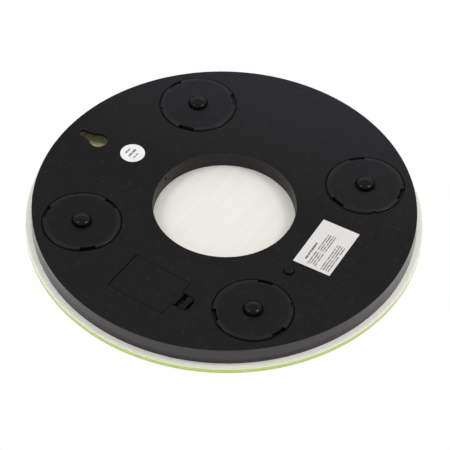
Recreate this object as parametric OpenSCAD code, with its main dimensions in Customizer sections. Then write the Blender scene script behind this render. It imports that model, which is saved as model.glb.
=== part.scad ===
// Round glass bathroom scale with an annular plastic base, standing on four load cell feet.
// Millimetres, +Z up. The origin is on the floor under the middle of the glass.
// The display end is -Y, the battery bay is at +X and the hanging slot is at +Y.

/* [Glass platform] */
// Radius of the glass
glass_r = 165; // [163:0.5:200]
// Thickness of the glass
glass_t = 6; // [4:0.5:10]
// Width of the bevel ground on both rims of the glass
glass_bevel = 1; // [0.5:0.1:1.5]
// Thickness of the printed layers under the glass
print_t = 0.3; // [0.2:0.05:0.5]
// How far the glass stands out past the cover
glass_overhang = 5.4; // [3:0.1:8]
// How far the white print in the middle reaches past the opening
print_lap = 2.6; // [1.5:0.1:4]

/* [Base cover] */
// Width of the cover from its outer edge to the middle opening
ring_w = 99.8; // [94:0.1:110]
// How much wider the outer wall is at the glass
cover_draft = 0.4; // [0:0.1:0.8]
// How much narrower the middle opening is at the glass
hole_draft = 0.3; // [0:0.1:0.6]
// Thickness of the lower wall
floor_t = 2.2; // [1.8:0.1:2.4]
// Thickness of the upright walls
wall_t = 2.2; // [1.6:0.1:3]
// Rounding of the lower edges
edge_round = 1.2; // [0.5:0.1:1.5]
// Clear width between each wall and the rib beside it
channel_w = 4; // [3:0.5:5]
// Thickness of the inner ribs
rib_t = 1.5; // [1:0.1:2]
// Height of the spoke ribs above the lower wall
rib_h = 5; // [3:0.5:5]
// Thickness of the foam tape that bonds the cover to the glass
tape_t = 0.6; // [0.4:0.1:1]
// Radius of the vent in the inner wall
vent_r = 1.4; // [0.8:0.1:1.6]
// Direction of the vent
vent_angle = 90; // [80:1:100]

/* [Feet] */
// Distance from the foot disc to the edge of the cover
foot_edge = 7.7; // [6:0.1:12]
// Radius of the foot disc
foot_r = 32.4; // [31:0.1:33]
// Gap round the foot disc
foot_gap = 0.9; // [0.6:0.1:1.2]
// How far the foot disc stands below the cover
foot_proud = 0.8; // [0.2:0.1:1.2]
// Thickness of the foot disc
foot_t = 2.4; // [2:0.1:2.6]
// Rounding of the foot disc's rim
foot_round = 1.1; // [0.5:0.1:1.4]
// Free travel of a foot when the scale is lifted
foot_travel = 0.8; // [0.4:0.1:1]
// Angle that each rim window of the foot disc spans
window_angle = 24; // [16:1:28]
// Depth of the rim windows
window_d = 3; // [2.5:0.1:3.4]
// Width of the keying notch in the rim
key_w = 2.6; // [2:0.1:3.5]
// Radius of the rubber pad
pad_r = 8.3; // [7:0.1:10]
// Height of the rubber pad below the foot disc
pad_h = 2.8; // [2.4:0.1:3.5]
// Rounding of the pad's lower edge
pad_round = 2; // [1:0.1:2.2]
// Radius of the stem that holds the pad
pad_stem_r = 2.9; // [2:0.1:3.5]

/* [Load cells] */
// Side of the square steel plate
cell_w = 34; // [30:0.5:34]
// Thickness of the steel plate
cell_t = 1.6; // [1.2:0.1:2]
// Width of the frame round the bending beam
cell_frame_w = 4.5; // [3.5:0.5:6]
// Width of the bending beam
beam_w = 12; // [10:0.5:13]

/* [Battery bay] */
// Distance from the battery door to the edge of the cover
door_edge = 31.2; // [29:0.1:34]
// Number of cells side by side
battery_count = 3; // [2:1:3]
// Diameter of a cell
battery_d = 10.5; // [9.5:0.1:10.5]
// Length of a cell
battery_len = 44.5; // [40:0.5:44.5]
// Clear width beside the outer cells
bay_side = 1.55; // [1:0.05:2.5]
// Gap between the bay's roof and the tape under the glass
roof_gap = 0.2; // [0.1:0.1:4]
// How far the door reaches past the cells' room on each side
door_lap = 1.6; // [1.2:0.1:3]
// Thickness of the door
door_t = 2; // [1.6:0.1:2.2]
// Gap round the door
door_gap = 0.4; // [0.3:0.05:0.6]
// Width of the latch
latch_w = 14; // [12:0.5:18]
// Clear width inside the bend of the latch
latch_gap = 4.8; // [4.4:0.1:6]
// How far the latch stands off the door's end
latch_root = 1.4; // [1:0.1:2]
// Length of the latch's finger lip
lip_len = 5.1; // [4.5:0.1:9]
// Radius of the finger scoop at the latch
scoop_r = 7.2; // [6:0.1:8]
// Depth of the finger scoop
scoop_d = 0.9; // [0.5:0.1:1.2]

/* [Unit button] */
// Position of the button across the scale
button_x = 33; // [28:0.1:34]
// Distance of the button from the inner edge of the circuit board
button_inset = 15; // [12:0.1:17]
// Radius of the button
button_r = 3.9; // [3:0.1:4.2]
// Gap round the button
button_gap = 0.6; // [0.4:0.1:1]
// How far the button stands out of the cover
button_proud = 2.3; // [1:0.1:2.6]
// Rounding of the button's end
button_round = 1.8; // [0.5:0.1:1.9]
// Travel of the button
button_travel = 0.8; // [0.3:0.1:0.8]

/* [Display and board] */
// Width of the display panel
lcd_w = 60; // [50:0.5:60]
// Depth of the display panel
lcd_d = 30; // [24:0.5:30]
// Thickness of the display panel
lcd_t = 2.8; // [2:0.1:3]
// Width of the clear border behind the window in the print
window_border = 2.5; // [1.5:0.5:4]
// Gap between the inner rib and the circuit board
board_gap = 2.9; // [1.5:0.1:6]
// Width of the circuit board
board_w = 75; // [74:0.5:80]
// Depth of the circuit board
board_d = 50; // [46:0.5:54]
// Thickness of the circuit board
board_t = 1.6; // [1:0.1:1.8]
// Inset of the board screws from its edges
screw_inset = 3; // [2.9:0.1:3.2]

/* [Hanging slot] */
// Distance from the narrow end to the edge of the cover
slot_edge = 11.2; // [8:0.1:12]
// Radius of the round end
slot_head_r = 7.75; // [6:0.25:8]
// Width of the narrow end
slot_w = 6.4; // [5:0.2:8]
// Width of the neck where it leaves the round end
slot_root_w = 9.4; // [8:0.2:11]
// Distance between the two ends
slot_len = 16.3; // [14:0.1:20]
// How far the pocket behind the slot reaches past it
pocket_gap = 11; // [3:0.5:12]

/* [Labels] */
// Width of the rating label
label_w = 52.8; // [40:0.1:60]
// Depth of the rating label
label_d = 33.4; // [25:0.1:36]
// Tilt of the rating label
label_tilt = -4.5; // [-8:0.5:8]
// Radius of the round sticker
sticker_r = 10.4; // [8:0.1:12]

/* [Hidden] */
$fn = 96;
eps = 0.01;

// Clearance between pieces that only meet
seat = 0.1;
// Clearance between pieces that move past each other
run = 0.3;

// Heights of the lower wall
face_z = pad_h + foot_proud;
floor_z = face_z + floor_t;
// Radii of the walls at the glass and at the lower face
cover_top_r = glass_r - glass_overhang;
cover_r = cover_top_r - cover_draft;
hole_r = cover_r - ring_w;
hole_top_r = hole_r - hole_draft;
// Ribs beside the walls
outer_rib_r = cover_r - wall_t - channel_w;
inner_rib_r = hole_r + wall_t + channel_w;
lane_r = inner_rib_r + rib_t + 7;
// The coloured print meets the white ones over the cover's walls
print_centre_r = hole_r + print_lap;
print_ring_r = cover_top_r - seat;
tape_inset = 0.6;

// Foot: levels of the disc, the ledge that keeps it in and the load cell over it
foot_angles = [45, 135, 225, 315];
foot_pitch_r = cover_r - foot_edge - foot_r;
disc_top_z = pad_h + foot_t;
well_r = foot_r + foot_gap;
ledge_t = 1.4;
ledge_z = disc_top_z + 0.9;
ledge_top_z = ledge_z + ledge_t;
ledge_r = foot_r - 2.1;
barb_z = ledge_top_z + foot_travel + 0.15;
barb_h = 1.2;
finger_top_z = barb_z + barb_h;
finger_r = foot_r - window_d - seat;
finger_t = 1.5;
finger_w = 9;
barb_r = ledge_r + 1.2;
hub_r = 6;
hub_top_z = finger_top_z + 0.4;
cell_z = hub_top_z + run;
cell_top_z = cell_z + cell_t;
web_z = cell_top_z + seat;
web_t = 1.8;

// Battery bay: the door lies in the lower wall and the cells lie over it
door_top_z = face_z + door_t;
contact_len = 2.8;
contact_w = 8.8;
plate_t = 0.5;
foam_t = 0.4;
bay_half_len = battery_len / 2 + contact_len;
bay_wall = 1.6;
battery_pitch = battery_d + 0.4;
battery_z = door_top_z + foam_t + 2 * seat + battery_d / 2;
bay_roof_z = battery_z + battery_d / 2 + run;
bay_roof_t = 1.4;
bay_half_w = battery_count * battery_pitch / 2 + bay_side;
door_half = bay_half_w + door_lap;
bay_x = cover_r - door_edge - door_half;

// The bay sets the height of the walls, and the glass lies on them
wall_top_z = bay_roof_z + bay_roof_t + roof_gap;
wall_h = wall_top_z - face_z;
glass_z = wall_top_z + tape_t + print_t;

// Door: tongues at one end, a sprung latch at the other
door_w = 2 * door_half;
hinge_y = bay_half_len + bay_wall - 0.8;
hinge_gap = 0.9;
door_end_y = -(bay_half_len + bay_wall + run);
tongue_x = 10;
tongue_w = 8;
tongue_len = 3.4;
tongue_h = 1.2;
tongue_top_z = floor_z + run + tongue_h;
tongue_slot_h = 3.4;
latch_t = 1.2;
latch_mid_y = door_end_y - latch_root - latch_t - latch_gap / 2;
latch_bend_z = face_z + 3.2;
latch_inset = 0.2;
lip_t = 1.4;
latch_r = latch_gap / 2 + latch_t;
lip_y = latch_mid_y - latch_gap / 2;
lip_end_y = lip_y - lip_len;
notch_gap = 0.8;
notch_end_y = lip_end_y - 1.6;
notch_roof_z = latch_bend_z + latch_r + 1;

// Circuit board and display, stacked down from the glass
board_near_y = -(inner_rib_r + rib_t + board_gap);
display_y = board_near_y - board_d / 2;
lcd_top_z = glass_z - print_t - run;
lcd_z = lcd_top_z - lcd_t;
backlight_t = 2;
backlight_z = lcd_z - backlight_t - seat;
board_top_z = backlight_z - 1.2;
board_z = board_top_z - board_t;
window_round = 3;
frame_wall = 2.2;
frame_lip = 2;
frame_w = lcd_w + 2 * frame_wall + 2 * seat;
frame_d = lcd_d + 2 * frame_wall + 2 * seat;
strip_w = 2.4;
screw_r = 1.1;
screw_head_r = 2.6;
screw_head_h = 1.4;
screw_grip = 4;
post_r = 2.9;
board_posts = [for (x = [-1, 1], y = [-1, 1])
    [x * (board_w / 2 - screw_inset), display_y + y * (board_d / 2 - screw_inset)]];

// Potted chip under the board
chip_x = -15;
chip_r = 6;
chip_h = 1.5;

// Unit button: the cap shows in a hole, its flange stays inside
button_y = board_near_y - button_inset;
button_z = face_z - button_proud;
button_hole_r = button_r + button_gap;
flange_z = floor_z + run;
flange_t = 1.1;
flange_r = button_hole_r + 1;
flange_top_z = flange_z + flange_t;
switch_z = flange_top_z + button_travel + run;
switch_w = 6;
plunger_r = 1.7;

// Hanging slot: a pocket behind it takes the screw head
slot_end_y = cover_r - slot_edge - slot_w / 2;
slot_y = slot_end_y - slot_len;

// The label lies under the display and the sticker between the slot and the opening
label_at = [-6.4, display_y - 0.7];
sticker_at = [-4, slot_y - 32.5];
label_t = 0.2;

// ---- helpers ----

// Upright plate with rounded corners, lying on z
module rounded_plate(size, r, h) {
    linear_extrude(h) rounded_outline(size, r);
}

module rounded_outline(size, r) {
    square([size.x - 2 * r, size.y], center = true);
    square([size.x, size.y - 2 * r], center = true);
    for (x = [-1, 1], y = [-1, 1])
        translate([x * (size.x / 2 - r), y * (size.y / 2 - r)]) circle(r);
}

module ring(r_in, r_out, h) {
    difference() {
        cylinder(r = r_out, h = h);
        translate([0, 0, -eps]) cylinder(r = r_in, h = h + 2 * eps);
    }
}

module at_foot(a) {
    rotate(a) translate([foot_pitch_r, 0, 0]) children();
}

// ---- glass platform ----

module glass_platter() {
    color([0.72, 0.8, 0.55])
    translate([0, 0, glass_z])
    rotate_extrude($fn = 180)
    polygon([
        [0, 0], [glass_r - glass_bevel, 0], [glass_r, glass_bevel],
        [glass_r, glass_t - glass_bevel], [glass_r - glass_bevel, glass_t], [0, glass_t]
    ]);
}

module print_centre() {
    color([0.92, 0.91, 0.86])
    translate([0, 0, glass_z - print_t])
    cylinder(r = print_centre_r, h = print_t - eps, $fn = 180);
}

// The coloured print is open over the display
module print_ring() {
    color([0.72, 0.8, 0.2])
    translate([0, 0, glass_z - print_t])
    difference() {
        ring(print_centre_r + eps, print_ring_r, print_t - eps);
        translate([0, display_y, -eps])
        rounded_plate([lcd_w - 2 * window_border, lcd_d - 2 * window_border], window_round, print_t);
    }
}

module print_rim() {
    color([0.9, 0.89, 0.84])
    translate([0, 0, glass_z - print_t])
    ring(print_ring_r + eps, glass_r - glass_bevel, print_t - eps);
}

module tape(r_in, r_out) {
    color([0.12, 0.12, 0.12])
    translate([0, 0, wall_top_z])
    ring(r_in, r_out, tape_t);
}

module outer_tape() {
    tape(outer_rib_r - rib_t, cover_top_r - tape_inset);
}

module inner_tape() {
    tape(hole_top_r + tape_inset, inner_rib_r + rib_t);
}

// ---- base cover ----

// Section of the tray: drafted walls with rounded lower edges
module tray_section() {
    difference() {
        union() {
            polygon([
                [hole_r + edge_round, 0], [cover_r - edge_round, 0], [cover_r, edge_round],
                [cover_top_r, wall_h], [hole_top_r, wall_h], [hole_r, edge_round]
            ]);
            translate([hole_r + edge_round, edge_round]) circle(edge_round, $fn = 48);
            translate([cover_r - edge_round, edge_round]) circle(edge_round, $fn = 48);
        }
        polygon([
            [hole_r + wall_t, floor_t], [cover_r - wall_t, floor_t],
            [cover_top_r - wall_t, wall_h + 1], [hole_top_r + wall_t, wall_h + 1]
        ]);
    }
}

module tray() {
    translate([0, 0, face_z]) rotate_extrude($fn = 180) tray_section();
    translate([0, 0, floor_z - eps]) {
        ring(inner_rib_r, inner_rib_r + rib_t, wall_top_z - floor_z + eps);
        ring(outer_rib_r - rib_t, outer_rib_r, wall_top_z - floor_z + eps);
    }
}

// Spoke ribs stiffen the floor; the ones beside the board and the latch are short
module spokes() {
    long_ribs = [22.5, 67.5, 112.5, 157.5, 202.5];
    short_ribs = [247.5, 292.5, 337.5];
    for (a = long_ribs) spoke(a, lane_r);
    for (a = short_ribs) spoke(a, norm([board_w / 2, board_d - board_near_y]) + 2);
}

module spoke(a, r_from) {
    rotate(a) translate([r_from, -rib_t / 2, floor_z - eps])
    cube([outer_rib_r - r_from - rib_t / 2, rib_t, rib_h]);
}

// One foot well: tube, ledge for the disc's fingers and a web that the load cell bears on
module well_body() {
    translate([0, 0, floor_z - eps])
    cylinder(r = well_r + rib_t, h = web_z + web_t - floor_z + eps);
}

module well_space() {
    translate([0, 0, face_z - 1]) cylinder(r = well_r, h = ledge_z - face_z + 1);
    translate([0, 0, ledge_z - eps]) cylinder(r = ledge_r, h = ledge_t + 2 * eps);
    translate([0, 0, ledge_top_z]) cylinder(r = well_r, h = web_z - ledge_top_z);
    translate([0, 0, web_z - eps])
    rounded_plate([cell_w - 2 * cell_frame_w + 1, cell_w - 2 * cell_frame_w + 1], 3, web_t + 1);
}

// Clips under two sides of the load cell, hanging from the web
module cell_clips() {
    clip_w = 8;
    clip_t = 1.4;
    for (s = [0, 180]) rotate(s) translate([cell_w / 2 + run, -clip_w / 2, cell_z - 0.9])
    {
        cube([clip_t, clip_w, web_z - cell_z + 0.9 + eps]);
        translate([-0.9, 0, 0]) cube([1, clip_w, 0.7]);
    }
}

// Nib that enters the disc's keying notch, so that the foot can't turn
module key_nib() {
    translate([well_r - 1.3, -(key_w - 1.2) / 2, face_z]) cube([1.8, key_w - 1.2, floor_t]);
}

// Walls and roof of the battery bay, and the smaller box over the latch
module bay_body() {
    translate([bay_x - bay_half_w - bay_wall, -bay_half_len - bay_wall, floor_z - eps])
    cube([2 * (bay_half_w + bay_wall), 2 * (bay_half_len + bay_wall),
        bay_roof_z + bay_roof_t - floor_z]);
    translate([bay_x - latch_w / 2 - notch_gap - bay_wall, notch_end_y - bay_wall, floor_z - eps])
    cube([latch_w + 2 * notch_gap + 2 * bay_wall, door_end_y - notch_end_y + bay_wall + 2,
        notch_roof_z + bay_wall - floor_z]);
}

module bay_space() {
    // the door's opening in the lower wall
    translate([bay_x - door_half - door_gap, door_end_y - door_gap, face_z - 1])
    cube([door_w + 2 * door_gap, hinge_y + hinge_gap - door_end_y + door_gap, floor_t + 1 + run]);
    // the cells' room
    translate([bay_x - bay_half_w, -bay_half_len, floor_z - 1])
    cube([2 * bay_half_w, 2 * bay_half_len, bay_roof_z - floor_z + 1]);
    // slots for the tongues
    for (s = [-1, 1])
        translate([bay_x + s * tongue_x - tongue_w / 2 - 2 * run, bay_half_len - 1, floor_z - eps])
        cube([tongue_w + 4 * run, bay_wall + 2, tongue_slot_h]);
    notch_space();
}

// Finger notch beside the door, round at its far corners, and a shallow scoop about its end
module notch_space() {
    w = latch_w + 2 * notch_gap;
    r = w / 3;
    translate([bay_x, lip_end_y + 1, face_z - 1]) cylinder(r = scoop_r, h = scoop_d + 1);
    translate([bay_x, notch_end_y + r, face_z - 1])
    linear_extrude(notch_roof_z - face_z + 1) {
        translate([-w / 2, 0]) square([w, door_end_y - notch_end_y - r + eps]);
        translate([r - w / 2, -r]) square([w - 2 * r, r + eps]);
        for (s = [-1, 1]) translate([s * (w / 2 - r), 0]) circle(r);
    }
}

// Keyhole: the neck narrows from the round end to the small one
module slot_outline() {
    root = slot_root_w / 2;
    root_y = slot_y + sqrt(slot_head_r * slot_head_r - root * root);
    end = slot_w / 2;
    translate([0, slot_y]) circle(slot_head_r);
    polygon([
        [-root, slot_y], [root, slot_y], [root, root_y],
        [end, slot_end_y], [-end, slot_end_y], [-root, root_y]
    ]);
    translate([0, slot_end_y]) circle(end);
}

module pocket_outline(extra) {
    r = slot_head_r + pocket_gap + extra;
    translate([0, slot_y]) circle(r);
    translate([-r, slot_y]) square([2 * r, slot_len - slot_head_r / 2]);
    translate([0, slot_end_y - slot_head_r / 2]) circle(r);
}

module slot_pocket() {
    translate([0, 0, floor_z - eps]) linear_extrude(wall_top_z - floor_z) intersection() {
        pocket_outline(rib_t);
        circle(outer_rib_r);
    }
}

module slot_space() {
    translate([0, 0, face_z - 1]) linear_extrude(floor_t + 2) slot_outline();
    translate([0, 0, floor_z]) linear_extrude(wall_top_z) intersection() {
        pocket_outline(0);
        circle(outer_rib_r - rib_t);
    }
}

module button_guide() {
    translate([button_x, button_y, floor_z - eps])
    cylinder(r = flange_r + run + rib_t, h = switch_z - floor_z - run);
}

module button_space() {
    translate([button_x, button_y, face_z - 1]) cylinder(r = button_hole_r, h = floor_t + 2);
    translate([button_x, button_y, floor_z]) cylinder(r = flange_r + run, h = board_z);
}

module posts() {
    for (p = board_posts) translate([p.x, p.y, floor_z - eps])
    difference() {
        cylinder(r = post_r, h = board_z - floor_z + eps);
        translate([0, 0, 1]) cylinder(r = screw_r, h = board_z);
    }
}

module vent() {
    rotate(vent_angle) translate([hole_r - 2, 0, face_z + 5.4]) rotate([0, 90, 0])
    cylinder(r = vent_r, h = wall_t + 3);
}

module base_cover() {
    color([0.14, 0.14, 0.14]) {
        difference() {
            union() {
                tray();
                spokes();
                for (a = foot_angles) at_foot(a) well_body();
                bay_body();
                slot_pocket();
                button_guide();
            }
            for (a = foot_angles) at_foot(a) well_space();
            bay_space();
            slot_space();
            button_space();
            vent();
        }
        for (i = [0:3]) at_foot(foot_angles[i]) {
            cell_clips();
            rotate(key_angle(i)) key_nib();
        }
        posts();
    }
}

// ---- feet ----

// Opposite feet are alike and neighbours are mirror images
function foot_hand(i) = i % 2 == 0 ? -1 : 1;
function key_angle(i) = -90 * foot_hand(i);
function window_angles(i) = [for (k = [0:2]) foot_hand(i) * (90 - 120 * k)];

module wedge(angle, r, h) {
    rotate(-angle / 2) rotate_extrude(angle = angle) square([r, h]);
}

module foot_plate_section() {
    polygon([
        [0, 0], [foot_r - foot_round, 0], [foot_r, foot_round], [foot_r, foot_t], [0, foot_t]
    ]);
    translate([foot_r - foot_round, foot_round]) circle(foot_round, $fn = 48);
}

module foot_plate(i) {
    difference() {
        rotate_extrude($fn = 144) foot_plate_section();
        for (a = window_angles(i)) rotate(a) difference() {
            translate([0, 0, -1]) wedge(window_angle, foot_r + 2, foot_t + 2);
            translate([0, 0, -2]) cylinder(r = foot_r - window_d, h = foot_t + 4);
        }
        rotate(key_angle(i)) translate([foot_r - 1.6, -key_w / 2, -1]) cube([4, key_w, foot_t + 2]);
    }
}

// Snap finger behind each window, its barb held by the well's ledge
module snap_finger() {
    rise = finger_top_z - disc_top_z;
    rotate([90, 0, 0]) translate([0, 0, -finger_w / 2]) linear_extrude(finger_w)
    polygon([
        [finger_r - finger_t, -eps], [finger_r, -eps], [finger_r, barb_z - disc_top_z],
        [barb_r, barb_z - disc_top_z], [barb_r, barb_z - disc_top_z + 0.3],
        [finger_r - 0.2, rise], [finger_r - finger_t, rise]
    ]);
}

// Hub with a domed tip that presses the load cell's tongue, on four gussets
module foot_hub() {
    h = hub_top_z - disc_top_z;
    dome_r = 2.4 * hub_r;
    intersection() {
        translate([0, 0, -eps]) cylinder(r = hub_r, h = h + eps);
        translate([0, 0, h - dome_r]) sphere(dome_r);
    }
    for (a = [0:90:270]) rotate(a) translate([hub_r - 1, -rib_t / 2, -eps])
    cube([finger_r - finger_t - hub_r - 1, rib_t, ledge_top_z - disc_top_z]);
}

module foot_disc(i) {
    color([0.15, 0.15, 0.15])
    at_foot(foot_angles[i]) difference() {
        union() {
            translate([0, 0, pad_h]) foot_plate(i);
            translate([0, 0, disc_top_z]) {
                for (a = window_angles(i)) rotate(a) snap_finger();
                foot_hub();
            }
        }
        translate([0, 0, pad_h - 1]) cylinder(r = pad_stem_r + 2 * seat, h = foot_t + 2);
    }
}

// Rubber pad with a full rounding and a stem pressed into the hub
module foot_pad(i) {
    color([0.1, 0.1, 0.1])
    at_foot(foot_angles[i]) {
        rotate_extrude() {
            polygon([
                [0, 0], [pad_r - pad_round, 0], [pad_r, pad_round],
                [pad_r, pad_h - eps], [0, pad_h - eps]
            ]);
            translate([pad_r - pad_round, 0]) intersection() {
                translate([0, pad_round]) circle(pad_round, $fn = 48);
                square(pad_round);
            }
        }
        translate([0, 0, pad_h - 2 * eps]) cylinder(r = pad_stem_r, h = foot_t + 0.9);
    }
}

// ---- load cells ----

// Stamped plate: a square frame with a tongue reaching in from one side
module load_cell(i) {
    inner = cell_w - 2 * cell_frame_w;
    color([0.72, 0.73, 0.74])
    at_foot(foot_angles[i]) translate([0, 0, cell_z])
    difference() {
        rounded_plate([cell_w, cell_w], 1.5, cell_t);
        translate([0, 0, -1]) difference() {
            rounded_plate([inner, inner], 2, cell_t + 2);
            translate([-inner, -beam_w / 2, -1]) cube([inner + hub_r + 3, beam_w, cell_t + 4]);
        }
        for (x = [-1, 1]) translate([x * 8, 0, -1]) cylinder(r = 1.2, h = cell_t + 2);
    }
}

// ---- battery bay ----

module door_latch() {
    ridge_len = latch_w - 5;
    translate([bay_x - latch_w / 2, 0, 0]) {
        // root and inner leg of the bend
        translate([0, door_end_y - latch_root - eps, face_z])
        cube([latch_w, latch_root + 2 * eps, door_t]);
        translate([0, door_end_y - latch_root - latch_t, face_z])
        cube([latch_w, latch_t, latch_bend_z - face_z + eps]);
        // outer leg
        translate([0, lip_y - latch_t, face_z + latch_inset])
        cube([latch_w, latch_t, latch_bend_z - face_z - latch_inset + eps]);
        // bend
        translate([0, latch_mid_y, latch_bend_z]) rotate([90, 0, 90])
        rotate_extrude(angle = 180, $fn = 64)
        translate([latch_gap / 2, 0]) square([latch_t, latch_w]);
    }
    // finger lip with two grip ridges
    translate([bay_x, lip_y - lip_len / 2 + latch_t / 2, face_z + latch_inset])
    rounded_plate([latch_w, lip_len - latch_t], 2 * latch_t, lip_t);
    for (k = [0, 1])
        translate([bay_x - ridge_len / 2, lip_y - 2 * latch_t - 2 * k, face_z - latch_inset])
        cube([ridge_len, 0.8, 2 * latch_inset + seat]);
}

// Tongues reach in over the lower wall and keep the door's end in
module door_tongues() {
    root = 1.6;
    for (s = [-1, 1]) translate([bay_x + s * tongue_x - tongue_w / 2, 0, 0]) {
        translate([0, hinge_y - root, door_top_z - eps])
        cube([tongue_w, root, tongue_top_z - door_top_z + eps]);
        translate([0, hinge_y - eps, tongue_top_z - tongue_h]) cube([tongue_w, tongue_len, tongue_h]);
    }
}

module battery_door() {
    color([0.15, 0.15, 0.15]) {
        translate([bay_x, (hinge_y + door_end_y) / 2, face_z])
        rounded_plate([door_w, hinge_y - door_end_y], 1, door_t);
        door_latch();
        door_tongues();
    }
}

module door_foam() {
    foam_inset = 2;
    foam_w = 12;
    color([0.3, 0.3, 0.32])
    translate([bay_x - bay_half_w + foam_inset, -foam_w / 2, door_top_z])
    cube([2 * (bay_half_w - foam_inset), foam_w, foam_t]);
}

module over_cells() {
    for (k = [0:battery_count - 1])
        translate([bay_x + (k - (battery_count - 1) / 2) * battery_pitch, 0, battery_z])
        children();
}

// Cells lie side by side with their caps towards the plates
module battery_cells() {
    cap_len = 0.8;
    color([0.25, 0.35, 0.6])
    over_cells() rotate([-90, 0, 0]) translate([0, 0, -battery_len / 2]) {
        cylinder(r = battery_d / 2 - 0.1, h = battery_len - cap_len);
        translate([0, 0, battery_len - cap_len - eps]) cylinder(r = 1.9, h = cap_len);
    }
}

module battery_plates() {
    plate_h = 6.5;
    color([0.75, 0.75, 0.76])
    over_cells() translate([-contact_w / 2, bay_half_len - plate_t, 4.2 - plate_h])
    cube([contact_w, plate_t - eps, plate_h]);
}

// Coned springs on their plates, at the flat ends of the cells
module battery_springs() {
    wire_r = 0.4;
    turns = 3;
    plate_h = 8;
    coil_r = 3.4;
    cone = 0.35;
    step = (contact_len - plate_t - run - 2 * wire_r) / (turns - 1);
    color([0.75, 0.75, 0.76])
    over_cells() translate([0, -bay_half_len, 0]) {
        translate([-contact_w / 2, 0, -plate_h / 2]) cube([contact_w, plate_t, plate_h]);
        translate([0, plate_t + wire_r - eps, 0]) rotate([-90, 0, 0])
        for (k = [0:turns - 1]) translate([0, 0, k * step])
            rotate_extrude($fn = 32) translate([coil_r - cone * k, 0])
            circle(wire_r + step / 4, $fn = 16);
    }
}

// ---- display and board ----

module circuit_board() {
    color([0.15, 0.4, 0.2])
    translate([0, display_y, board_z])
    difference() {
        rounded_plate([board_w, board_d], 1.5, board_t);
        for (p = board_posts) translate([p.x, p.y - display_y, -1])
            cylinder(r = screw_r + 4 * seat, h = board_t + 2);
    }
}

module board_screws() {
    color([0.7, 0.7, 0.72])
    for (p = board_posts) translate([p.x, p.y, 0]) {
        translate([0, 0, board_top_z]) cylinder(r = screw_head_r, h = screw_head_h);
        translate([0, 0, board_z - screw_grip])
        cylinder(r = screw_r - seat / 2, h = board_t + screw_grip + eps);
    }
}

module chip_cap() {
    dome_r = (chip_r * chip_r + chip_h * chip_h) / (2 * chip_h);
    color([0.08, 0.08, 0.08])
    translate([chip_x, display_y, board_z - chip_h]) intersection() {
        cylinder(r = chip_r, h = chip_h);
        translate([0, 0, dome_r]) sphere(dome_r);
    }
}

// Frame that stands on the board and holds the panel against the glass
module lcd_frame() {
    h = lcd_top_z - board_top_z - 4 * seat;
    inner_w = lcd_w - 2 * frame_lip;
    inner_d = lcd_d - 2 * frame_lip;
    color([0.85, 0.85, 0.83])
    translate([0, display_y, board_top_z])
    difference() {
        rounded_plate([frame_w, frame_d], 1.5, h);
        translate([-lcd_w / 2 - seat, -lcd_d / 2 - seat, lcd_z - board_top_z - seat])
        cube([lcd_w + 2 * seat, lcd_d + 2 * seat, h]);
        translate([-inner_w / 2, -inner_d / 2, -1]) cube([inner_w, inner_d, h + 2]);
    }
}

module lcd_panel() {
    color([0.6, 0.65, 0.6])
    translate([-lcd_w / 2, display_y - lcd_d / 2, lcd_z]) cube([lcd_w, lcd_d, lcd_t]);
}

module lcd_backlight() {
    gap = frame_lip + run;
    depth = lcd_d - 2 * gap - strip_w - run;
    color([0.92, 0.92, 0.9])
    translate([-lcd_w / 2 + gap, display_y + lcd_d / 2 - gap - depth, backlight_z])
    cube([lcd_w - 2 * gap, depth, backlight_t]);
}

// Rubber contact strip between the board and the panel
module contact_strip() {
    color([0.75, 0.4, 0.5])
    translate([-lcd_w / 2 + 2 * frame_lip, display_y - lcd_d / 2 + frame_lip + run / 2, board_top_z])
    cube([lcd_w - 4 * frame_lip, strip_w - run, lcd_z - board_top_z - eps]);
}

module tact_switch() {
    color([0.2, 0.2, 0.2])
    translate([button_x, button_y, switch_z]) difference() {
        translate([-switch_w / 2, -switch_w / 2, 0]) cube([switch_w, switch_w, board_z - switch_z - eps]);
        translate([0, 0, -1]) cylinder(r = plunger_r + seat / 2, h = plunger_h() - 0.2 + 1);
    }
}

// The plunger fills the switch's bore, less the travel
function plunger_h() = board_z - switch_z - 0.3;

module switch_plunger() {
    color([0.85, 0.83, 0.75])
    translate([button_x, button_y, flange_top_z])
    cylinder(r = plunger_r, h = switch_z + plunger_h() - 0.2 - button_travel - run / 2 - flange_top_z);
}

module unit_button() {
    color([0.18, 0.18, 0.18])
    translate([button_x, button_y, 0]) {
        translate([0, 0, button_z]) rotate_extrude() {
            polygon([
                [0, 0], [button_r - button_round, 0], [button_r, button_round],
                [button_r, flange_z - button_z + eps], [0, flange_z - button_z + eps]
            ]);
            translate([button_r - button_round, button_round]) intersection() {
                circle(button_round, $fn = 48);
                translate([0, -button_round]) square(button_round);
            }
        }
        translate([0, 0, flange_z]) cylinder(r = flange_r, h = flange_t);
    }
}

// Leads in the lane beside the inner rib, with spurs to the feet, the bay and the board
module wire_loom() {
    wire_r = 0.7;
    wire_z = floor_z + wire_r + seat;
    lane = [for (k = [0:2]) inner_rib_r + rib_t + 1.2 + 1.8 * k];
    board_angle = 15;
    arc = foot_angles[0] + 90 - board_angle;
    board_r = -board_near_y / cos(board_angle) + 3;
    color([0.7, 0.2, 0.2]) translate([0, 0, wire_z]) {
        for (r = lane, from = [board_angle - 90, foot_angles[1]])
            rotate(from) rotate_extrude(angle = arc) translate([r, 0]) circle(wire_r, $fn = 16);
        for (a = foot_angles) wire_pair(a, lane[2], foot_pitch_r - well_r - rib_t - run);
        wire_pair(0, lane[2], bay_x - bay_half_w - bay_wall - run);
        for (a = [-1, 1]) {
            wire_pair(-90 + a * (board_angle + 1), lane[0], board_r);
            rotate(-90 + a * (board_angle + 1)) for (k = [-1, 1]) translate([board_r, k * 0.9, -0.6])
                cylinder(r = 0.8, h = board_z - wire_z + 0.6 - eps);
        }
    }
}

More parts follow.
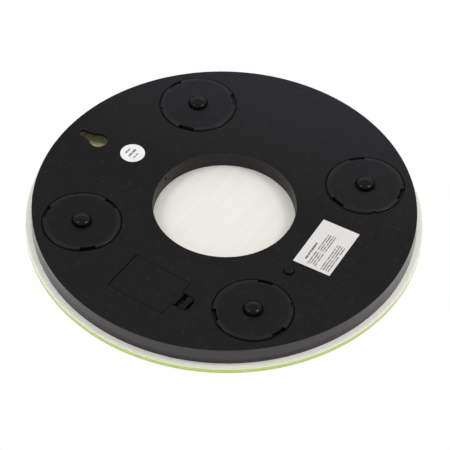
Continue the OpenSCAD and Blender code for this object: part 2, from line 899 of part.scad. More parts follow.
module wire_pair(a, r_from, r_to) {
    rotate(a) for (k = [-1, 1]) translate([r_from, k * 0.9, 0]) rotate([0, 90, 0])
    cylinder(r = 0.55, h = r_to - r_from);
}

// ---- labels ----

module rating_label() {
    color([0.87, 0.86, 0.84])
    translate([label_at.x, label_at.y, face_z - label_t]) rotate(label_tilt)
    rounded_plate([label_w, label_d], 0.6, label_t - eps);
}

module round_sticker() {
    color([0.94, 0.94, 0.93])
    translate([sticker_at.x, sticker_at.y, face_z - label_t])
    cylinder(r = sticker_r, h = label_t - eps);
}

glass_platter();
print_centre();
print_ring();
print_rim();
base_cover();
outer_tape();
inner_tape();
load_cell(0);  // cell_rear_right
load_cell(1);  // cell_rear_left
load_cell(2);  // cell_front_left
load_cell(3);  // cell_front_right
foot_disc(0);  // disc_rear_right
foot_disc(1);  // disc_rear_left
foot_disc(2);  // disc_front_left
foot_disc(3);  // disc_front_right
foot_pad(0);  // pad_rear_right
foot_pad(1);  // pad_rear_left
foot_pad(2);  // pad_front_left
foot_pad(3);  // pad_front_right
battery_door();
door_foam();
battery_cells();
battery_springs();
battery_plates();
circuit_board();
board_screws();
chip_cap();
contact_strip();
lcd_panel();
lcd_frame();
lcd_backlight();
tact_switch();
switch_plunger();
unit_button();
wire_loom();
rating_label();
round_sticker();
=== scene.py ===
"""Round glass bathroom scale, seen from below: finishes, display digits, light and camera."""
from math import cos, pi, radians, sin

import bmesh
import bpy
from mathutils import Matrix, Vector


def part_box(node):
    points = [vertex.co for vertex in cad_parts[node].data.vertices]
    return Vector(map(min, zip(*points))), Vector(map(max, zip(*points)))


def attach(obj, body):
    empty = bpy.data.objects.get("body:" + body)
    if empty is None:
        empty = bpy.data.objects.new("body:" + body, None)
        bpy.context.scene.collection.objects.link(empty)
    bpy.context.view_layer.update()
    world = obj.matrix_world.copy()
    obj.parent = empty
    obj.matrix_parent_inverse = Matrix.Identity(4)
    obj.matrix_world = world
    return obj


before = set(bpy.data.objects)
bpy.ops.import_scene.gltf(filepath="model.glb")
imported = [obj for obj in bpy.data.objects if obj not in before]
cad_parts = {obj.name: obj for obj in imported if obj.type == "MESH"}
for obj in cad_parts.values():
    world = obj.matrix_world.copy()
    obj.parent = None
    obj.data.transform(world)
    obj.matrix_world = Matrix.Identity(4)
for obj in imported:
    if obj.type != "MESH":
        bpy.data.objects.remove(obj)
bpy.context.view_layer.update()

MM = 0.001
FOOT_NAMES = ("rear_right", "rear_left", "front_left", "front_right")
# Where the finish of the cover and of its prints changes, and where painted shade and painted light
# begin on them
INNER_WALL_REACH = 61 * MM
OUTER_WALL_REACH = 150 * MM
WALL_FOOT_REACH = 156 * MM
POCKET_HALF_W = 20 * MM
POCKET_Y = (115 * MM, 152 * MM)
POCKET_FLOOR_Z = 5.5 * MM
# Where a foot disc and its pad begin and end to fall away
DISC_CROWN = (28.2 * MM, 31.3 * MM)
DISC_COAT = (27.9 * MM, 29.2 * MM)
PAD_CROWN = (2.5 * MM, 5.2 * MM)


# ---- helpers for materials ----

def screen(red, green, blue):
    """The linear colour of an 8-bit screen colour."""
    def linear(c):
        c = c / 255
        return c / 12.92 if c <= 0.04045 else ((c + 0.055) / 1.055) ** 2.4
    return (linear(red), linear(green), linear(blue), 1.0)


class Look:
    """A material with one Principled shader, and short calls for the nodes that feed it."""

    def __init__(self, name, **plain):
        self.material = bpy.data.materials.new(name)
        self.material.use_nodes = True
        self.tree = self.material.node_tree
        self.tree.nodes.clear()
        self.output = self.node("ShaderNodeOutputMaterial")
        self.shader = self.node("ShaderNodeBsdfPrincipled")
        self.join(self.shader.outputs[0], self.output.inputs["Surface"])
        self.coords = self.node("ShaderNodeTexCoord")
        self.at = self.coords.outputs["Object"]
        for key, value in plain.items():
            self.feed(key.replace("_", " ").title().replace("Ior", "IOR"), value)

    def node(self, kind, **settings):
        made = self.tree.nodes.new(kind)
        for key, value in settings.items():
            setattr(made, key, value)
        return made

    def join(self, source, target):
        self.tree.links.new(source, target)

    def put(self, socket, value):
        """Links an output to the socket, or sets a plain value on it."""
        if isinstance(value, bpy.types.NodeSocket):
            self.join(value, socket)
        else:
            socket.default_value = value

    def feed(self, name, value):
        self.put(self.shader.inputs[name], value)

    def math(self, operation, first, second=0.0):
        made = self.node("ShaderNodeMath", operation=operation)
        self.put(made.inputs[0], first)
        self.put(made.inputs[1], second)
        return made.outputs[0]

    def spread(self, value, low, high, start=0.0, end=1.0):
        """Maps start..end to low..high, held at the ends."""
        made = self.node("ShaderNodeMapRange")
        self.put(made.inputs["Value"], value)
        for key, number in (("From Min", start), ("From Max", end), ("To Min", low), ("To Max", high)):
            made.inputs[key].default_value = number
        return made.outputs[0]

    def mix(self, share, first, second):
        made = self.node("ShaderNodeMix", data_type="RGBA")
        self.put(made.inputs["Factor"], share)
        self.put(made.inputs[6], first)
        self.put(made.inputs[7], second)
        return made.outputs[2]

    def noise(self, size, detail=2.0, stretch=(1, 1, 1), roughness=0.5):
        """Noise whose lumps are about size metres across, drawn out by stretch."""
        place = self.node("ShaderNodeMapping")
        self.put(place.inputs["Vector"], self.at)
        place.inputs["Scale"].default_value = [1 / (size * s) for s in stretch]
        made = self.node("ShaderNodeTexNoise")
        self.join(place.outputs[0], made.inputs["Vector"])
        made.inputs["Scale"].default_value = 1.0
        made.inputs["Detail"].default_value = detail
        made.inputs["Roughness"].default_value = roughness
        return made.outputs["Fac"]

    def axes(self, vector):
        made = self.node("ShaderNodeSeparateXYZ")
        self.join(vector, made.inputs[0])
        return made.outputs

    def length(self, x, y):
        """Length of the flat vector (x, y)."""
        squares = self.math("ADD", self.math("MULTIPLY", x, x), self.math("MULTIPLY", y, y))
        return self.math("SQRT", squares)

    def bump(self, height, depth, soften=0.0, under=None):
        """Bump of depth metres, on the normal under if that is given. With soften, edges are rounded
        by that radius as well."""
        made = self.node("ShaderNodeBump")
        made.inputs["Strength"].default_value = 1.0
        made.inputs["Distance"].default_value = depth
        self.put(made.inputs["Height"], height)
        if soften:
            edge = self.node("ShaderNodeBevel", samples=4)
            edge.inputs["Radius"].default_value = soften
            under = edge.outputs[0]
        if under is not None:
            self.join(under, made.inputs["Normal"])
        self.feed("Normal", made.outputs[0])

    def painted_light_side(self):
        """0 over most of the underside, rising to 1 at the side whose tone is painted lighter: painted
        light standing in for the sheen that this side catches. Whether that side is paler or only lit
        more can't be told from the photo."""
        x, y, _ = self.axes(self.at)
        toward = self.math("ADD", self.math("MULTIPLY", x, -0.98), self.math("MULTIPLY", y, 0.2))
        return self.spread(toward, 0.0, 1.0, 20 * MM, 150 * MM)

    def foot_reach(self):
        """Distance from the axis of the nearest foot. All feet lie equally far out on both axes."""
        low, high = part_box("disc_" + FOOT_NAMES[0])
        middle = (low + high) / 2
        x, y, _ = self.axes(self.at)
        x = self.math("SUBTRACT", self.math("ABSOLUTE", x), abs(middle.x))
        y = self.math("SUBTRACT", self.math("ABSOLUTE", y), abs(middle.y))
        return self.length(x, y)

    def crown(self, reach, start, end, slope):
        """Normal of a face that falls away from start on, until it has this slope at the reach end."""
        past = self.math("MAXIMUM", self.math("SUBTRACT", reach, start), 0.0)
        steepness = -0.5 * slope / (end - start) / MM
        fall = self.math("MULTIPLY", self.math("MULTIPLY", past, past), steepness)
        made = self.node("ShaderNodeBump")
        made.inputs["Strength"].default_value = 1.0
        made.inputs["Distance"].default_value = MM
        self.join(fall, made.inputs["Height"])
        return made.outputs[0]

    def within(self, value, low, high):
        """1 where value lies between low and high, otherwise 0."""
        above = self.math("GREATER_THAN", value, low)
        below = self.math("LESS_THAN", value, high)
        return self.math("MULTIPLY", above, below)


# ---- materials ----

def moulded(name, shade, gloss, specular, grain, soften=0.25 * MM, crowned=False):
    """Black moulded plastic: fine spark texture, uneven gloss and a little dust, and a tone painted
    lighter toward one side as painted light. The edge of a crowned foot disc is shaded as if it fell
    away over its last millimetres, and has a thin coat."""
    look = Look(name)
    texture = look.noise(grain, detail=3)
    drift = look.noise(28 * MM, detail=4)
    dust = look.spread(look.noise(5 * MM, detail=5, roughness=0.65), 0.0, 1.0, 0.55, 0.8)
    light = tuple(1.35 * c for c in shade[:3]) + (1.0,)
    dark = tuple(0.75 * c for c in shade[:3]) + (1.0,)
    # Toward one side the tone is mixed to a paler grey: painted light for the sheen that side catches.
    tone = look.mix(look.painted_light_side(), look.mix(drift, dark, light), screen(37, 36, 39))
    dusty = look.mix(look.math("MULTIPLY", dust, 0.1), tone, screen(96, 94, 92))
    look.feed("Base Color", dusty)
    rough = look.math("ADD", look.spread(drift, gloss - 0.06, gloss + 0.06, 0.3, 0.7),
                      look.math("MULTIPLY", texture, 0.08))
    if crowned:
        reach = look.foot_reach()
        edge = look.spread(reach, 0.0, 1.0, *DISC_COAT)
        look.feed("Coat Weight", look.spread(edge, 0.0, 0.12))
        look.feed("Coat Roughness", 0.22)
        look.bump(texture, 0.015 * MM, under=look.crown(reach, *DISC_CROWN, 0.72))
    else:
        look.bump(texture, 0.02 * MM, soften)
    look.feed("Specular IOR Level", specular)
    look.feed("Roughness", rough)
    return look.material


def let_lamps_through(look, tint):
    """Lamps light what lies behind this glass."""
    clear = look.node("ShaderNodeBsdfTransparent")
    clear.inputs["Color"].default_value = tint
    path = look.node("ShaderNodeLightPath")
    through = look.math("MAXIMUM", path.outputs["Is Shadow Ray"], path.outputs["Is Diffuse Ray"])
    both = look.node("ShaderNodeMixShader")
    look.join(through, both.inputs[0])
    look.join(look.shader.outputs[0], both.inputs[1])
    look.join(clear.outputs[0], both.inputs[2])
    look.join(both.outputs[0], look.output.inputs["Surface"])


def polished_glass():
    """Clear tempered glass."""
    look = Look("glass", base_color=(0.95, 0.985, 0.94, 1), roughness=0.01, ior=1.5,
                transmission_weight=1.0)
    let_lamps_through(look, (0.95, 0.98, 0.95, 1))
    return look.material


def edge_glass():
    """Side of the glass, darker toward the top, as the photo shows it."""
    low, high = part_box("glass_platter")
    look = Look("glass_edge", ior=1.5, transmission_weight=1.0)
    height = look.axes(look.at)[2]
    darker = look.spread(height, 0.0, 1.0, low.z + 2 * MM, high.z - 1 * MM)
    uneven = look.spread(look.noise(14 * MM, detail=3), 0.7, 1.0)
    share = look.math("MULTIPLY", darker, uneven)
    look.feed("Base Color", look.mix(share, (0.95, 0.985, 0.94, 1), (0.6, 0.66, 0.6, 1)))
    look.feed("Roughness", look.spread(share, 0.01, 0.06))
    let_lamps_through(look, (0.95, 0.98, 0.95, 1))
    return look.material


def ground_glass():
    """Bevel of the glass, ground matt so that it catches the light as a pale line."""
    look = Look("glass_bevel", base_color=(0.93, 0.97, 0.84, 1), ior=1.5, transmission_weight=0.6)
    marks = look.noise(0.4 * MM, detail=3)
    look.feed("Roughness", look.spread(marks, 0.35, 0.6))
    look.bump(marks, 0.01 * MM)
    let_lamps_through(look, (0.9, 0.93, 0.88, 1))
    return look.material


def bonded_glass():
    """Lower face of the glass, where the ink sticks to it without a film of air between."""
    look = Look("glass_bonded")
    clear = look.node("ShaderNodeBsdfTransparent")
    clear.inputs["Color"].default_value = (1, 1, 1, 1)
    look.join(clear.outputs[0], look.output.inputs["Surface"])
    return look.material


def ink(name, shade, spots, painted_shadow_from=None):
    """Screen-printed ink: faint streaks of the squeegee and a fine grain. Beyond the given radius it is
    painted dark: a painted shadow line at the foot of the wall."""
    look = Look(name)
    streaks = look.noise(9 * MM, detail=3, stretch=(6, 0.7, 1))
    grain = look.noise(0.5 * MM, detail=2)
    tone = look.math("ADD", look.math("MULTIPLY", streaks, 0.7), look.math("MULTIPLY", grain, 0.3))
    printed = look.mix(look.spread(tone, 0.0, 1.0, 0.3, 0.7), spots, shade)
    if painted_shadow_from:
        x, y, _ = look.axes(look.at)
        outside = look.math("GREATER_THAN", look.length(x, y), painted_shadow_from)
        printed = look.mix(outside, printed, screen(40, 38, 35))
    look.feed("Base Color", printed)
    look.feed("Roughness", look.spread(grain, 0.42, 0.6))
    look.bump(grain, 0.008 * MM)
    return look.material


def rubber():
    """Smooth rubber, slightly domed and uneven from wear."""
    look = Look("pad_rubber", specular_ior_level=0.08)
    skin = look.noise(0.35 * MM, detail=2)
    wear = look.noise(3 * MM, detail=3)
    look.feed("Base Color", look.mix(wear, screen(8, 8, 9), screen(22, 22, 23)))
    look.feed("Roughness", look.spread(wear, 0.18, 0.3))
    domed = look.crown(look.foot_reach(), *PAD_CROWN, 0.55)
    look.bump(skin, 0.01 * MM, under=domed)
    return look.material


def label(name, paper, centre, tilt, form):
    """Satin film, printed with what form draws, which spells nothing."""
    look = Look(name)
    place = look.node("ShaderNodeVectorRotate", rotation_type="Z_AXIS")
    look.join(look.at, place.inputs["Vector"])
    place.inputs["Center"].default_value = centre
    place.inputs["Angle"].default_value = -tilt
    across, along, _ = look.axes(place.outputs[0])
    across = look.math("SUBTRACT", across, centre.x)
    along = look.math("SUBTRACT", along, centre.y)
    printed = form(look, across, along)
    fibre = look.noise(1.2 * MM, detail=4)
    clean = look.mix(fibre, tuple(0.94 * c for c in paper[:3]) + (1.0,), paper)
    look.feed("Base Color", look.mix(look.math("MULTIPLY", printed, 0.85), clean, screen(46, 44, 46)))
    look.feed("Roughness", look.spread(fibre, 0.38, 0.55))
    look.bump(look.noise(6 * MM, detail=2), 0.03 * MM)
    return look.material


def lines(look, across, along, top, count, left, right, pitch, share):
    """Lines of print from top downward, each filling share of the pitch."""
    below = look.math("DIVIDE", look.math("SUBTRACT", top, along), pitch)
    line = look.math("LESS_THAN", look.math("FRACT", below), share)
    field = look.math("MULTIPLY", look.within(below, 0.0, count - 0.4), look.within(across, left, right))
    return look.math("MULTIPLY", line, field)


def broken(look, printed, length):
    """Print broken into dashes of uneven length, too small to be words."""
    dashes = look.noise(length, detail=1, stretch=(1, 4, 1))
    return look.math("MULTIPLY", look.math("GREATER_THAN", dashes, 0.4), printed)


def ruled_form(look, across, along):
    """Two blocks of dashed lines under a thicker heading."""
    heading_line = lines(look, across, along, 9.8 * MM, 1, -0.5 * MM, 19.5 * MM, 3.6 * MM, 0.5)
    upper = look.math("MAXIMUM", lines(look, across, along, 5.4 * MM, 4, 8 * MM, 23 * MM, 2.1 * MM, 0.5),
                      lines(look, across, along, 5.4 * MM, 4, -13.5 * MM, 6 * MM, 2.1 * MM, 0.5))
    lower = lines(look, across, along, -6.6 * MM, 4, -7 * MM, 23.5 * MM, 2.1 * MM, 0.5)
    fields = look.math("MULTIPLY", look.math("MAXIMUM", upper, lower), 0.95)
    return broken(look, look.math("MAXIMUM", heading_line, fields), 0.9 * MM)


def stamp_form(look, across, along):
    """Three short dashed lines across the middle."""
    first = lines(look, across, along, 5.6 * MM, 1, -3.2 * MM, 3.6 * MM, 3 * MM, 0.55)
    last = lines(look, across, along, -3.2 * MM, 1, -1.8 * MM, 4.2 * MM, 3 * MM, 0.5)
    outer = look.math("MAXIMUM", first, last)
    middle = lines(look, across, along, 1.4 * MM, 1, -5 * MM, 5 * MM, 3.6 * MM, 0.55)
    return broken(look, look.math("MAXIMUM", outer, middle), 0.75 * MM)


def foam():
    look = Look("foam_tape", specular_ior_level=0.2)
    cells = look.noise(0.3 * MM, detail=3)
    look.feed("Base Color", look.mix(cells, screen(18, 18, 18), screen(34, 34, 34)))
    look.feed("Roughness", look.spread(cells, 0.8, 0.95))
    look.bump(cells, 0.08 * MM)
    return look.material


def sheet_steel(name, shade, gloss):
    """Stamped steel: rolling marks along one way and a mottled plating."""
    look = Look(name, metallic=1.0)
    rolled = look.noise(0.6 * MM, detail=3, stretch=(30, 1, 1))
    plating = look.noise(7 * MM, detail=4)
    look.feed("Base Color", look.mix(plating, tuple(0.8 * c for c in shade[:3]) + (1.0,), shade))
    look.feed("Roughness", look.math("ADD", look.spread(rolled, gloss - 0.06, gloss + 0.06),
                                     look.math("MULTIPLY", plating, 0.08)))
    look.bump(rolled, 0.004 * MM, 0.1 * MM)
    return look.material


def cell_jacket():
    """Plain shrink sleeve of a cell: blue grey, with a pale band at the cap end and bare steel ends."""
    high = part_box("battery_cells")[1]
    look = Look("cell_jacket")
    along = look.axes(look.at)[1]
    wobble = look.noise(8 * MM, detail=2)
    band = look.math("GREATER_THAN", along, high.y - 6 * MM)
    facing = look.axes(look.coords.outputs["Normal"])[1]
    ends = look.math("GREATER_THAN", look.math("ABSOLUTE", facing), 0.7)
    cap = look.math("GREATER_THAN", along, high.y - 1.2 * MM)
    bare = look.math("MAXIMUM", ends, cap)
    sleeve = look.mix(band, screen(84, 98, 112), screen(204, 206, 202))
    shaded = look.mix(look.math("MULTIPLY", wobble, 0.25), sleeve, screen(120, 120, 124))
    look.feed("Base Color", look.mix(bare, shaded, screen(196, 196, 192)))
    look.feed("Metallic", bare)
    look.feed("Roughness", look.spread(wobble, 0.22, 0.36))
    look.bump(wobble, 0.05 * MM)
    return look.material


def laminate():
    """Green board with the faint weave of its glass cloth and paler copper areas under the mask."""
    look = Look("board_laminate")
    weave = look.noise(0.5 * MM, detail=1, stretch=(3, 1, 1))
    copper = look.spread(look.noise(6 * MM, detail=1), 0.0, 1.0, 0.5, 0.53)
    mask = look.mix(copper, screen(18, 74, 40), screen(34, 104, 58))
    look.feed("Base Color", look.mix(look.math("MULTIPLY", weave, 0.3), mask, screen(14, 60, 34)))
    look.feed("Roughness", look.spread(weave, 0.25, 0.4))
    look.bump(copper, 0.03 * MM)
    return look.material


def plain_moulding(name, shade, gloss):
    """Smooth small moulding with slight flow marks."""
    look = Look(name)
    flow = look.noise(4 * MM, detail=3, stretch=(2, 1, 1))
    look.feed("Base Color", look.mix(flow, tuple(0.88 * c for c in shade[:3]) + (1.0,), shade))
    look.feed("Roughness", look.spread(flow, gloss - 0.08, gloss + 0.08))
    look.bump(look.noise(0.4 * MM), 0.006 * MM, 0.15 * MM)
    return look.material


def display_glass():
    """Reflective display: grey-green with a fine diffuser grain."""
    look = Look("lcd_glass", specular_ior_level=0.6)
    grain = look.noise(0.3 * MM, detail=2)
    wide = look.noise(20 * MM, detail=2)
    look.feed("Base Color", look.mix(wide, screen(150, 160, 148), screen(168, 176, 164)))
    look.feed("Roughness", look.spread(grain, 0.16, 0.3))
    look.bump(grain, 0.004 * MM)
    return look.material


def segment_ink():
    look = Look("lcd_segments")
    grain = look.noise(0.4 * MM, detail=1)
    look.feed("Base Color", look.mix(grain, screen(24, 28, 26), screen(36, 40, 38)))
    look.feed("Roughness", look.spread(grain, 0.25, 0.35))
    return look.material


# ---- dressing the frame's nodes ----

def dress(node, *materials, choose=None):
    """Puts the materials on the node. choose gives the number of the one for a face."""
    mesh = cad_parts[node].data
    mesh.materials.clear()
    for material in materials:
        mesh.materials.append(material)
    for face in mesh.polygons:
        face.material_index = choose(face) if choose else 0


def cover_face(face):
    """The lower face, the outer wall, the uprights of its wells and cut-outs, the inner wall, and
    the walls behind the hanging slot."""
    if abs(face.normal.z) > 0.5:
        return 0
    reach = Vector(face.center[:2]).length
    beside_slot = abs(face.center.x) < POCKET_HALF_W and POCKET_Y[0] < face.center.y < POCKET_Y[1]
    if beside_slot and face.center.z > POCKET_FLOOR_Z:
        return 4
    if reach < INNER_WALL_REACH:
        return 3
    return 1 if reach > OUTER_WALL_REACH else 2


def edge_or_face(face):
    return 1 if abs(face.normal.z) < 0.97 else 0


def under_or_top(face):
    return 1 if face.normal.z < -0.5 else 0


def glass_face(face):
    """Polished on top, ground on the bevels, bonded below, and darker toward the top at the side."""
    if face.normal.z < -0.9:
        return 2
    if abs(face.normal.z) < 0.3:
        return 3
    return 1 if abs(face.normal.z) < 0.9 else 0


face_black = moulded("face_black", screen(21, 21, 21), 0.6, 0.06, 0.35 * MM)
# Outer wall: smoother and glossier than the face, and painted a lighter tone as painted light.
wall_smooth_painted_light = moulded("wall_smooth_painted_light", screen(33, 31, 32), 0.15, 0.58, 0.6 * MM)
# Walls behind the hanging slot, painted pale cream: painted light for the light that the print above
# throws into the pocket.
pocket_painted_light = plain_moulding("pocket_painted_light", screen(205, 196, 160), 0.6)
# Inner wall: painted darker than the outer wall, as painted shade.
inner_wall_painted_shade = moulded("inner_wall_painted_shade", screen(26, 25, 25), 0.42, 0.22, 0.6 * MM)
# Uprights of the wells and cut-outs, and the door's edges: painted darker than the face, as painted
# shade.
pit_painted_shade = moulded("pit_painted_shade", screen(14, 13, 14), 0.6, 0.08, 0.6 * MM)
disc_black = moulded("disc_black", screen(20, 20, 21), 0.55, 0.06, 0.3 * MM, crowned=True)
cap_black = moulded("cap_black", screen(18, 18, 19), 0.4, 0.06, 0.3 * MM)
white_ink = ink("white_print", screen(236, 234, 226), screen(229, 227, 218))
lime_ink = ink("lime_print", screen(196, 210, 120), screen(186, 201, 104))
# The backing is painted dark beyond the wall's foot: a painted shadow line.
backing_ink = ink("backing_print", screen(250, 243, 200), screen(246, 236, 186), WALL_FOOT_REACH)
rim_ink = ink("rim_print", screen(250, 248, 240), screen(244, 242, 232))
tape = foam()
cell_steel = sheet_steel("cell_steel", screen(186, 188, 190), 0.34)
contact_steel = sheet_steel("contact_steel", screen(206, 204, 198), 0.24)
dark_moulding = plain_moulding("dark_plastic", screen(28, 28, 29), 0.4)
white_moulding = plain_moulding("white_plastic", screen(222, 220, 212), 0.42)
pad_rubber = rubber()

dress("base_cover", face_black, wall_smooth_painted_light, pit_painted_shade, inner_wall_painted_shade, pocket_painted_light, choose=cover_face)
dress("battery_door", face_black, pit_painted_shade, choose=edge_or_face)
dress("unit_button", cap_black)
for name in FOOT_NAMES:
    dress("disc_" + name, disc_black)
    dress("pad_" + name, pad_rubber)
    dress("cell_" + name, cell_steel)
dress("glass_platter", polished_glass(), ground_glass(), bonded_glass(), edge_glass(), choose=glass_face)
dress("print_centre", white_ink)
dress("print_rim", rim_ink)
dress("print_ring", lime_ink, backing_ink, choose=under_or_top)
dress("outer_tape", tape)
dress("inner_tape", tape)
dress("door_foam", tape)
dress("battery_cells", cell_jacket())
dress("battery_springs", contact_steel)
dress("battery_plates", contact_steel)
dress("board_screws", contact_steel)
dress("circuit_board", laminate())
dress("chip_cap", dark_moulding)
dress("tact_switch", dark_moulding)
dress("contact_strip", plain_moulding("strip_rubber", screen(196, 132, 140), 0.6))
dress("lcd_panel", display_glass())
dress("lcd_frame", white_moulding)
dress("lcd_backlight", white_moulding)
dress("switch_plunger", white_moulding)
dress("wire_loom", plain_moulding("wire_jacket", screen(150, 32, 30), 0.4))

LABEL_TILT = radians(-4.5)
label_low, label_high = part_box("rating_label")
sticker_low, sticker_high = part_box("round_sticker")
dress("rating_label", label("label_film", screen(218, 214, 211), (label_low + label_high) / 2,
                            LABEL_TILT, ruled_form))
dress("round_sticker", label("sticker_film", screen(234, 234, 234), (sticker_low + sticker_high) / 2,
                             0.0, stamp_form))


# ---- display digits ----

# Which of the seven bars each digit shows: top, upper right, lower right, bottom, lower left,
# upper left, middle
SEGMENTS = {"0": (1, 1, 1, 1, 1, 1, 0)}
DIGIT_W = 8 * MM
DIGIT_H = 15 * MM
BAR = 1.7 * MM
DIGIT_GAP = 4 * MM
SEGMENT_T = 0.05 * MM


def bar_outline(length, width):
    """Bar with pointed ends, along X and centred."""
    half, tip = length / 2, width / 2
    return [(-half, 0), (-half + tip, -tip), (half - tip, -tip), (half, 0),
            (half - tip, tip), (-half + tip, tip)]


def add_prism(mesh, outline, at, turned):
    """Adds a thin prism to mesh. The reader faces -Y, so right is -X and up is -Y."""
    low = []
    for x, y in outline:
        if turned:
            x, y = -y, x
        low.append(mesh.verts.new((-(at[0] + x), -(at[1] + y), 0)))
    high = [mesh.verts.new(v.co + Vector((0, 0, SEGMENT_T))) for v in low]
    count = len(outline)
    mesh.faces.new(low[::-1])
    mesh.faces.new(high)
    for i in range(count):
        j = (i + 1) % count
        mesh.faces.new((low[i], low[j], high[j], high[i]))


def digit(mesh, character, x):
    reach = DIGIT_H / 2
    side = DIGIT_W / 2
    bars = [((x, reach), False), ((x + side, reach / 2), True), ((x + side, -reach / 2), True),
            ((x, -reach), False), ((x - side, -reach / 2), True), ((x - side, reach / 2), True),
            ((x, 0), False)]
    for (at, turned), shown in zip(bars, SEGMENTS[character]):
        length = (reach if turned else DIGIT_W) - 0.3 * MM
        if shown:
            add_prism(mesh, bar_outline(length, BAR), at, turned)


def display_digits():
    low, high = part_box("lcd_panel")
    mesh = bmesh.new()
    step = DIGIT_W + DIGIT_GAP
    digit(mesh, "0", -step / 2)
    digit(mesh, "0", step / 2)
    point = [(BAR * 0.5 * cos(a), BAR * 0.5 * sin(a)) for a in (pi / 4 + k * pi / 2 for k in range(4))]
    add_prism(mesh, point, (0, -DIGIT_H / 2), False)
    data = bpy.data.meshes.new("lcd_digits")
    mesh.to_mesh(data)
    mesh.free()
    piece = bpy.data.objects.new("lcd_digits", data)
    piece.location = ((low.x + high.x) / 2, (low.y + high.y) / 2, high.z)
    bpy.context.scene.collection.objects.link(piece)
    data.materials.append(segment_ink())
    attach(piece, "platform")


display_digits()


# ---- stage, light and camera ----

WORLD_LIGHT = 0.57
LAMP_DISTANCE = 1.3
LAMP_DROP = -54
CAMERA_AZIMUTH = -33.0
CAMERA_ELEVATION = -46.73
CAMERA_ROLL = 1.4545
CAMERA_DISTANCE = 2125.0 * MM
CAMERA_SIDE = 0.34 * MM
CAMERA_RISE = -17.85 * MM
CAMERA_AIM_Z = 3.6 * MM
CAMERA_LENS = 206.0
CAMERA_SENSOR = 36.0


def floor():
    """Pale floor under the feet. It shows from above, fades out into the white backdrop and keeps
    the shadow."""
    bpy.ops.mesh.primitive_circle_add(vertices=96, radius=1.2, fill_type="NGON")
    ground = bpy.context.object
    ground.name = "floor"
    look = Look("floor_white")
    tree_out = look.output.inputs["Surface"]
    matte = look.node("ShaderNodeBsdfDiffuse")
    matte.inputs["Color"].default_value = (0.55, 0.55, 0.55, 1)
    glow = look.node("ShaderNodeEmission")
    glow.inputs["Strength"].default_value = 0.47
    lit = look.node("ShaderNodeAddShader")
    look.join(matte.outputs[0], lit.inputs[0])
    look.join(glow.outputs[0], lit.inputs[1])
    clear = look.node("ShaderNodeBsdfTransparent")
    x, y, _ = look.axes(look.at)
    edge = look.spread(look.length(x, y), 0.0, 1.0, 0.3, 0.8)
    back = look.node("ShaderNodeNewGeometry").outputs["Backfacing"]
    gone = look.math("MAXIMUM", edge, back)
    both = look.node("ShaderNodeMixShader")
    look.join(gone, both.inputs[0])
    look.join(lit.outputs[0], both.inputs[1])
    look.join(clear.outputs[0], both.inputs[2])
    look.join(both.outputs[0], tree_out)
    ground.data.materials.append(look.material)
    for ray in ("diffuse", "glossy", "transmission", "shadow"):
        setattr(ground, "visible_" + ray, False)


def backdrop():
    """White to the camera, in reflections and through glass, and softer as a light."""
    world = bpy.data.worlds.new("backdrop")
    world.use_nodes = True
    tree = world.node_tree

    def step(kind, inputs, **settings):
        made = tree.nodes.new(kind)
        for key, value in settings.items():
            setattr(made, key, value)
        for key, value in inputs.items():
            if isinstance(value, bpy.types.NodeSocket):
                tree.links.new(value, made.inputs[key])
            else:
                made.inputs[key].default_value = value
        return made.outputs

    path = step("ShaderNodeLightPath", {})
    seen = step("ShaderNodeMath", {0: path["Is Camera Ray"], 1: path["Is Transmission Ray"]},
                operation="MAXIMUM")[0]
    soft = step("ShaderNodeMath", {0: path["Is Diffuse Ray"], 1: WORLD_LIGHT}, operation="MULTIPLY")[0]
    bright = step("ShaderNodeMath", {0: seen, 1: path["Is Glossy Ray"]}, operation="MAXIMUM")[0]
    strength = step("ShaderNodeMath", {0: bright, 1: soft}, operation="MAXIMUM")[0]
    background = tree.nodes["Background"]
    background.inputs["Color"].default_value = (1, 1, 1, 1)
    tree.links.new(strength, background.inputs["Strength"])
    bpy.context.scene.world = world


def heading(azimuth, elevation):
    """Unit vector at these angles, in degrees."""
    a, e = radians(azimuth), radians(elevation)
    return Vector((cos(a) * cos(e), sin(a) * cos(e), sin(e)))


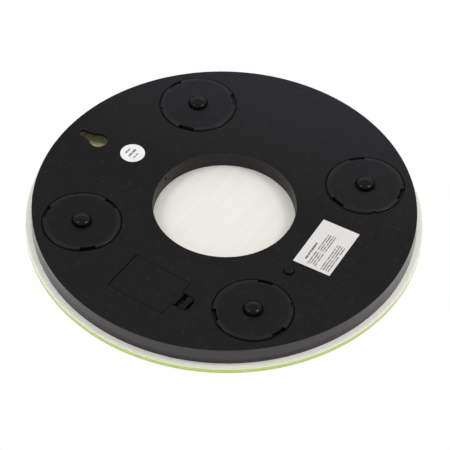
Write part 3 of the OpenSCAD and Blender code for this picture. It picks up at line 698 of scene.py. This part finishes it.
def softbox(name, azimuth, elevation, size, watts, mirrored=False, lighting=True):
    """Square lamp turned to the origin. mirrored shows it in reflections, and lighting lets it light."""
    data = bpy.data.lights.new(name, "AREA")
    data.shape = "SQUARE"
    data.size = size
    data.energy = watts
    lamp = bpy.data.objects.new(name, data)
    lamp.location = LAMP_DISTANCE * heading(azimuth, elevation)
    lamp.rotation_euler = lamp.location.to_track_quat("Z", "Y").to_euler()
    lamp.visible_camera = False
    lamp.visible_glossy = mirrored
    lamp.visible_diffuse = lighting
    bpy.context.scene.collection.objects.link(lamp)


def camera():
    """Looks up at the underside, with the axis of the scale a little left of the middle."""
    away = -heading(CAMERA_AZIMUTH, CAMERA_ELEVATION)
    level = away.cross(Vector((0, 0, -1))).normalized()
    rise = level.cross(away)
    roll = radians(CAMERA_ROLL)
    right = cos(roll) * level + sin(roll) * rise
    up = cos(roll) * rise - sin(roll) * level
    data = bpy.data.cameras.new("camera")
    data.lens = CAMERA_LENS
    data.sensor_width = CAMERA_SENSOR
    data.clip_start = 0.1
    view = bpy.data.objects.new("camera", data)
    turn = Matrix((right, up, -away)).transposed()
    place = (Vector((0, 0, CAMERA_AIM_Z)) - CAMERA_DISTANCE * away
             + CAMERA_SIDE * right + CAMERA_RISE * up)
    view.matrix_world = Matrix.Translation(place) @ turn.to_4x4()
    bpy.context.scene.collection.objects.link(view)
    bpy.context.scene.camera = view


floor()
backdrop()
softbox("below_right", CAMERA_AZIMUTH - 90, LAMP_DROP, 0.4, 4.4)
softbox("glint_right", CAMERA_AZIMUTH - 90, LAMP_DROP, 0.25, 13.0, mirrored=True, lighting=False)
softbox("below_left", CAMERA_AZIMUTH + 90, LAMP_DROP, 0.4, 3.4)
softbox("glint_left", CAMERA_AZIMUTH + 90, LAMP_DROP, 0.25, 10.0, mirrored=True, lighting=False)
softbox("below", CAMERA_AZIMUTH + 180, -80, 1.0, 3.0)
softbox("above_left", 70, 55, 0.8, 6.0)
softbox("above_right", 250, 60, 0.9, 4.0)
camera()

bpy.context.scene.view_settings.view_transform = "Standard"
